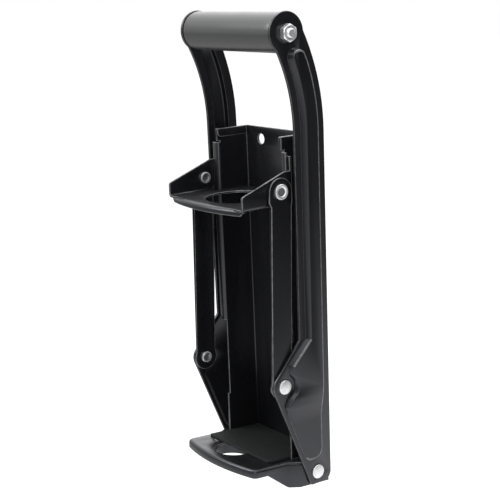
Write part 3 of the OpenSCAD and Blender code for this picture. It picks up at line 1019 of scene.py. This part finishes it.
@dataclass
class LinkUnit:
    """One link with the inner half of its lower rivet.

    The waist lies between head_drop under the upper rivet and foot_rise over the lower one.
    """

    dresser: SheetDresser
    side: Side
    soft: float = 0.4
    neck: float = 1.1
    head_drop: float = 7.4
    foot_rise: float = 4.3
    slip: float = 0.1

    def build(self) -> list[Piece]:
        """Builds the link and returns its pieces."""
        body = f"{self.side.word}_link"
        link = self.dresser.dress(f"link_{self.side.word}", body, self.soft, shape=self.waist)
        tail = Rivet(self.dresser.finishes, "joint_rivet_tail", self.side, body)
        return [link, tail.tail_only()]

    def waist(self, bm: Mesh) -> None:
        """Draws the link in a little between its head and its foot.

        Args:
            bm: the link's merged mesh.
        """
        head = axis_point(f"press_rivet_{self.side.word}")
        foot = axis_point(f"joint_rivet_tail_{self.side.word}")
        low, high = foot.z + self.foot_rise * MM, head.z - self.head_drop * MM
        slice_level(bm, low)
        for vert in bm.verts:
            if low - self.slip * MM < vert.co.z < high:
                off = vert.co.y - foot.lerp(head, (vert.co.z - foot.z) / (head.z - foot.z)).y
                vert.co.y -= math.copysign(min(abs(off), self.neck * MM), off)


@dataclass
class HandleUnit:
    """The two levers, the grip between them, its rod and nuts.

    fade_ sizes say where the pressed web runs out below the lower joint, crest_ sizes which
    edges of its rim carry a painted highlight line, and heights are measured from the lower joint.
    """

    dresser: SheetDresser
    body: str = "handle"
    spread: float = 0.5
    plate: float = 1.8
    soft: float = 0.45
    corner: float = 55.0
    smooth: float = 38.0
    # Strength of the painted highlight on the levers' softened edges.
    mark: float = 0.4
    fade_start: float = -4.0
    fade_len: float = 24.0
    fade_steps: int = 8
    fade_to: float = 0.22
    web_least: float = 0.1
    bend_least: float = 14.0
    foot_soft: float = 0.5
    foot_below: float = 5.0
    foot_rear: float = -14.0
    crest_soft: float = 0.55
    # Strength of the painted highlight along the web's lit crest.
    crest_mark: float = 0.9
    crest_bend_most: float = 70.0
    crest_slope: float = 0.1
    crest_end_slope: float = 0.55
    crest_ends: float = 40.0
    slant_from: float = 3.0
    slant_least: float = 6.0
    grip_round: float = 1.1
    grip_round_steps: int = 6
    grip_steps: int = 24
    thread_pitch: float = 1.0
    thread_depth: float = 0.28
    thread_root: float = 0.45
    thread_inside: float = 2.0
    thread_ends: Span = (0.4, 0.9)
    rod_bevel: float = 0.7
    rod_smooth: float = 25.0
    nut_face: float = 0.94
    nut_chamfer: float = 32.0
    nut_mouth: float = 1.12
    nut_bore: float = 0.985
    nut_bevel: float = 0.14
    nut_smooth: float = 28.0

    def build(self) -> list[Piece]:
        """Builds the handle and returns its pieces."""
        pieces = []
        look = (self.soft, self.corner, self.smooth, self.fade_web, self.mark)
        for side in Side:
            pieces.append(self.dresser.dress(f"lever_{side.word}", self.body, *look))
            head = Rivet(self.dresser.finishes, "joint_rivet_head", side, self.body)
            pieces += [head.domed(tail=False), self.nut(side)]
        pieces += [self.sleeve(), self.rod()]
        for entry in self.dresser.nodes["grip_tube"].material_slots:
            entry.material = self.dresser.finishes.zinc
        return pieces

    def fade_web(self, bm: Mesh) -> None:
        """Lets the lever's pressed web run out below the lower joint, softens its edges and paints a
        highlight along its lit crest.

        Args:
            bm: the lever's merged mesh.
        """
        joint_z = axis_point("joint_rivet_tail_right").z
        start, length = joint_z + self.fade_start * MM, self.fade_len * MM
        for step in range(self.fade_steps + 1):
            slice_level(bm, start - length * step / self.fade_steps)
        bm.normal_update()
        rises = self._rises(bm, joint_z)
        foot = [e for e in bm.edges if self._is_web_foot(e, rises, joint_z)]
        crest = [e for e in bm.edges if self._is_lit_crest(e, rises, joint_z)]
        for vert, rise in rises.items():
            if vert.co.z < start and rise > self.web_least * MM:
                t = min(1.0, (start - vert.co.z) / length)
                lost = (1 - self.fade_to) * t * t * (3 - 2 * t)
                vert.co.x -= math.copysign(rise * lost, vert.co.x)
        # The web's foot is softened with no painted highlight, and its lit crest with a strong painted
        # highlight.
        self.dresser.soften(bm, foot, self.foot_soft, 0.0)
        self.dresser.soften(bm, [e for e in crest if e.is_valid], self.crest_soft, self.crest_mark)

    def _rises(self, bm: Mesh, joint_z: float) -> dict[Vert, float]:
        """Measures how far each vertex stands above the lever's plate.

        Args:
            bm: the lever's mesh, whose plate leans outwards.
            joint_z: the lower joint's height, in metres.

        Returns:
            The vertices' rises, in metres, from the plate's own face on their side.
        """
        lean = math.tan(math.radians(self.spread))
        levels = {v: abs(v.co.x) - lean * (v.co.z - joint_z) for v in bm.verts}
        inner = min(levels.values())
        outer = inner + self.plate * MM
        return {v: level - (outer if v.normal.x * v.co.x > 0 else inner) for v, level in levels.items()}

    def _is_web_foot(self, edge: Edge, rises: dict[Vert, float], joint_z: float) -> bool:
        """Tells whether an edge lies at the foot of the web's walls; see _is_lit_crest()."""
        if edge.is_convex or not is_bent(edge, self.bend_least):
            return False
        if max(abs(rises[v]) for v in edge.verts) >= self.web_least * MM:
            return False
        place = edge.verts[0].co
        return place.z > joint_z - self.foot_below * MM or place.y > self.foot_rear * MM

    def _is_lit_crest(self, edge: Edge, rises: dict[Vert, float], joint_z: float) -> bool:
        """Tells whether an edge lies on the outer rim of the web where the coat catches the light.

        Args:
            edge: the edge.
            rises: how far each vertex stands above the plate, in metres.
            joint_z: the lower joint's height, in metres.

        Returns:
            True along the web's rear and its two ends, and on the slanting wall above the joint.
        """
        gentle = is_bent(edge, self.bend_least) and not is_bent(edge, self.crest_bend_most)
        if not (edge.is_convex and gentle):
            return False
        if min(rises[v] for v in edge.verts) < self.web_least * MM:
            return False
        if any(face.normal.x * edge.verts[0].co.x < 0 for face in edge.link_faces):
            return False
        wall = min((face.normal for face in edge.link_faces), key=lambda normal: abs(normal.x))
        height = ((edge.verts[0].co.z + edge.verts[1].co.z) / 2 - joint_z) / MM
        if abs(height) > self.crest_ends:
            lit = (wall.z if height > 0 else -wall.z) > self.crest_end_slope
        else:
            long = edge.calc_length() > self.slant_least * MM
            lit = height > self.slant_from and wall.z > self.crest_slope and long
        return lit or wall.y > self.crest_slope

    def _axis(self, node: str) -> tuple[float, Vector]:
        """Reads a turned part's radius in millimetres and a point on its axis in metres."""
        lo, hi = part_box(node)
        return (hi.z - lo.z) / 2 / MM, axis_point(node)

    def sleeve(self) -> Piece:
        """Makes the grey sleeve, with rounded ends and its bore."""
        r, centre = self._axis("grip_sleeve")
        bore, _ = self._axis("grip_tube")
        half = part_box("grip_sleeve")[1].x / MM
        flank = half - self.grip_round
        end = round_over(half, r, self.grip_round, self.grip_round_steps)
        profile = [(-half, bore), *((-x, q) for x, q in reversed(end))]
        profile += [(flank * (2 * step / self.grip_steps - 1), r) for step in range(1, self.grip_steps)]
        profile += [*end, (half, bore), (-half, bore)]
        bm = lathe_x(profile, centre, Side.RIGHT, FINE_TURN)
        grey = self.dresser.finishes.grip
        return to_piece(bm, "grip_sleeve_smooth", grey, self.body, "grip_grey", "grip_sleeve")

    def rod(self) -> Piece:
        """Makes the rod through the grip, threaded at both ends."""
        r, centre = self._axis("handle_rod")
        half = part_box("handle_rod")[1].x / MM
        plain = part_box("lever_right")[0].x / MM - self.thread_inside
        right = [(plain, r)]
        lead, stop = self.thread_ends
        x = plain + lead
        while x < half - stop:
            right += [(x, r), (x + self.thread_pitch * self.thread_root, r - self.thread_depth)]
            x += self.thread_pitch
        right += [(half - self.rod_bevel, r), (half, r - self.rod_bevel), (half, 0.0)]
        profile = [(-x, q) for x, q in reversed(right)] + right
        bm = lathe_x(profile, centre, Side.RIGHT, FINE_TURN // 2)
        zinc = self.dresser.finishes.zinc
        look = ("zinc_steel", "handle_rod", self.rod_smooth)
        return to_piece(bm, "handle_rod_threaded", zinc, self.body, *look)

    def nut(self, side: Side) -> Piece:
        """Makes one hexagon nut with turned corners and a chamfered bore.

        Args:
            side: which side it is on.

        Returns:
            The new piece.
        """
        node = f"handle_nut_{side.word}"
        lo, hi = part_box(node)
        wide, tall, height = hi.y - lo.y, hi.z - lo.z, hi.x - lo.x
        flat, turned = min(wide, tall) / 2, math.pi / 2 if wide < tall else 0.0
        rod_r, centre = self._axis("handle_rod")
        bore, face, sixth = rod_r * MM, flat * self.nut_face, math.pi / 3
        bm = bmesh.new()
        start = bmesh.ops.create_circle(bm, cap_ends=False, radius=flat, segments=FINE_TURN)["verts"]
        for vert in start:
            angle = math.atan2(vert.co.y, vert.co.x)
            vert.co /= math.cos((angle + sixth / 2) % sixth - sixth / 2)
        ring = grow_ring(bm, start)
        fall = math.tan(math.radians(self.nut_chamfer))
        for vert in ring:
            vert.co.z = height - max(0.0, vert.co.xy.length - face) * fall
        mouth, thread = bore * self.nut_mouth, bore * self.nut_bore
        for radius, z in ((face, 1.0), (mouth, 1.0), (thread, 1.0 - self.nut_bevel), (thread, 0.0)):
            ring = grow_ring(bm, ring)
            for vert in ring:
                vert.co.xy = vert.co.xy.normalized() * radius
                vert.co.z = height * z
        bmesh.ops.bridge_loops(bm, edges=ring_edges(bm, start) + ring_edges(bm, ring))
        turn = Matrix.Rotation(math.pi / 2, 4, "Y") @ Matrix.Rotation(turned, 4, "Z")
        centre.x = min(abs(lo.x), abs(hi.x))
        bmesh.ops.transform(bm, matrix=Matrix.Translation(centre) @ turn, verts=bm.verts)
        mirror_left(bm, side)
        zinc = self.dresser.finishes.zinc
        return to_piece(bm, f"{node}_turned", zinc, self.body, "zinc_steel", node, self.nut_smooth)


# ---------------- studio


@dataclass(frozen=True)
class Softbox:
    """One soft lamp that looks at the object, with its power in watts."""

    name: str
    spot: Triple
    size: Span
    power: float
    aim: Triple = (0.0, -0.02, 0.04)

    def build(self) -> None:
        """Adds the lamp."""
        data = bpy.data.lights.new(self.name, "AREA")
        data.shape = "RECTANGLE"
        data.size, data.size_y = self.size
        data.energy = self.power
        lamp = add_object(self.name, data)
        lamp.location = self.spot
        way = Vector(self.aim) - Vector(self.spot)
        lamp.rotation_euler = way.to_track_quat("-Z", "Y").to_euler()


@dataclass
class Studio:
    """Floor, backdrop light, lamps and the camera at the photograph's place.

    The room's reflection is dark on the right and brighter to the left, above and in front; a
    span is where such a region starts and where it is full, as parts of a unit direction.
    """

    eye: Triple = (0.6531, -0.5065, 0.2232)
    yaw: float = 53.79
    pitch: float = 12.81
    roll: float = 2.31
    lens: float = 88.66
    sensor: float = 36.0
    floor_z: float = -0.32
    floor_reach: float = 6.0
    room_light: float = 0.5
    room_colour: Triple = (0.98, 0.985, 1.0)
    dark_side: float = 0.05
    front_side: float = 0.8
    front_span: Span = (0.0, -0.5)
    right_span: Span = (0.2, 0.6)
    bright_side: float = 2.0
    bright_front: float = 0.6
    behind_span: Span = (-0.4, 0.4)
    left_span: Span = (0.35, -0.45)
    bright_above: float = 2.3
    above_span: Span = (0.3, 0.8)
    lamps: tuple[Softbox, ...] = (
        Softbox("key_softbox", (-0.9, -1.3, 1.1), (0.8, 0.8), 15.0),
        Softbox("side_softbox", (1.5, -1.1, 0.8), (0.4, 0.8), 6.0),
        Softbox("top_softbox", (-0.2, 0.3, 1.6), (1.2, 0.9), 20.0),
    )

    def build(self) -> None:
        """Sets up the stage."""
        self.floor()
        self.world()
        for lamp in self.lamps:
            lamp.build()
        self.camera()
        bpy.context.scene.view_settings.view_transform = "Standard"

    def floor(self) -> None:
        """Makes the paper floor."""
        bm = bmesh.new()
        bmesh.ops.create_grid(bm, x_segments=4, y_segments=4, size=self.floor_reach)
        bmesh.ops.translate(bm, vec=(0, 0, self.floor_z), verts=bm.verts)
        add_mesh(bm, "paper_floor", StudioPaper().build())

    def world(self) -> None:
        """Makes the room's light: white to the camera, softer and graded for lighting."""
        world = bpy.data.worlds.new("studio_room")
        bpy.context.scene.world = world
        t = NodeTree.opened(world)
        way = t.axes(t.add("ShaderNodeTexCoord").outputs["Generated"])
        behind = t.remap(way["Y"], *self.behind_span, self.bright_front, self.bright_side)
        left = t.math("MULTIPLY", behind, t.remap(way["X"], *self.left_span))
        ahead = t.remap(way["Y"], *self.front_span, 0.0, self.front_side)
        front = t.math("MULTIPLY", ahead, t.remap(way["X"], *self.right_span))
        above = t.remap(way["Z"], *self.above_span, 0.0, self.bright_above)
        graded = t.math("MAXIMUM", t.math("ADD", left, front, self.dark_side), above)
        seen, shiny = t.rays()
        white = t.add("ShaderNodeBackground", Color=(1.0, 1.0, 1.0, 1.0), Strength=1.0)
        mirrored = t.add("ShaderNodeBackground", Color=(1.0, 1.0, 1.0, 1.0), Strength=graded)
        room = t.add("ShaderNodeBackground", Color=(*self.room_colour, 1.0), Strength=self.room_light)
        lit = t.add("ShaderNodeMixShader", shiny, room.outputs[0], mirrored.outputs[0])
        shown = t.add("ShaderNodeMixShader", seen, lit.outputs[0], white.outputs[0])
        t.add("ShaderNodeOutputWorld", Surface=shown.outputs[0])

    def camera(self) -> None:
        """Puts the camera where the photograph was taken from."""
        yaw, pitch, roll = (math.radians(a) for a in (self.yaw, self.pitch, self.roll))
        turn = Matrix.Rotation(yaw, 4, "Z") @ Matrix.Rotation(math.pi / 2 - pitch, 4, "X")
        data = bpy.data.cameras.new("camera")
        data.lens = self.lens
        data.sensor_width = self.sensor
        data.dof.use_dof = False
        camera = add_object("camera", data)
        camera.matrix_world = Matrix.Translation(self.eye) @ turn @ Matrix.Rotation(-roll, 4, "Z")
        bpy.context.scene.camera = camera


# ---------------- main


def main() -> None:
    """Builds every sub-assembly in order and reports each piece."""
    logging.basicConfig(level=logging.INFO, format="%(name)s: %(message)s")
    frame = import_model()
    Studio().build()
    dresser = SheetDresser(frame, Finishes.make())
    units = [WallFrame(dresser), PressUnit(dresser), HandleUnit(dresser)]
    units += [LinkUnit(dresser, side) for side in Side]
    for unit in units:
        for piece in unit.build():
            log.info("%s: %s with %d faces", type(unit).__name__, piece.name, len(piece.data.polygons))
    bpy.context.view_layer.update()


if __name__ == "__main__":
    main()
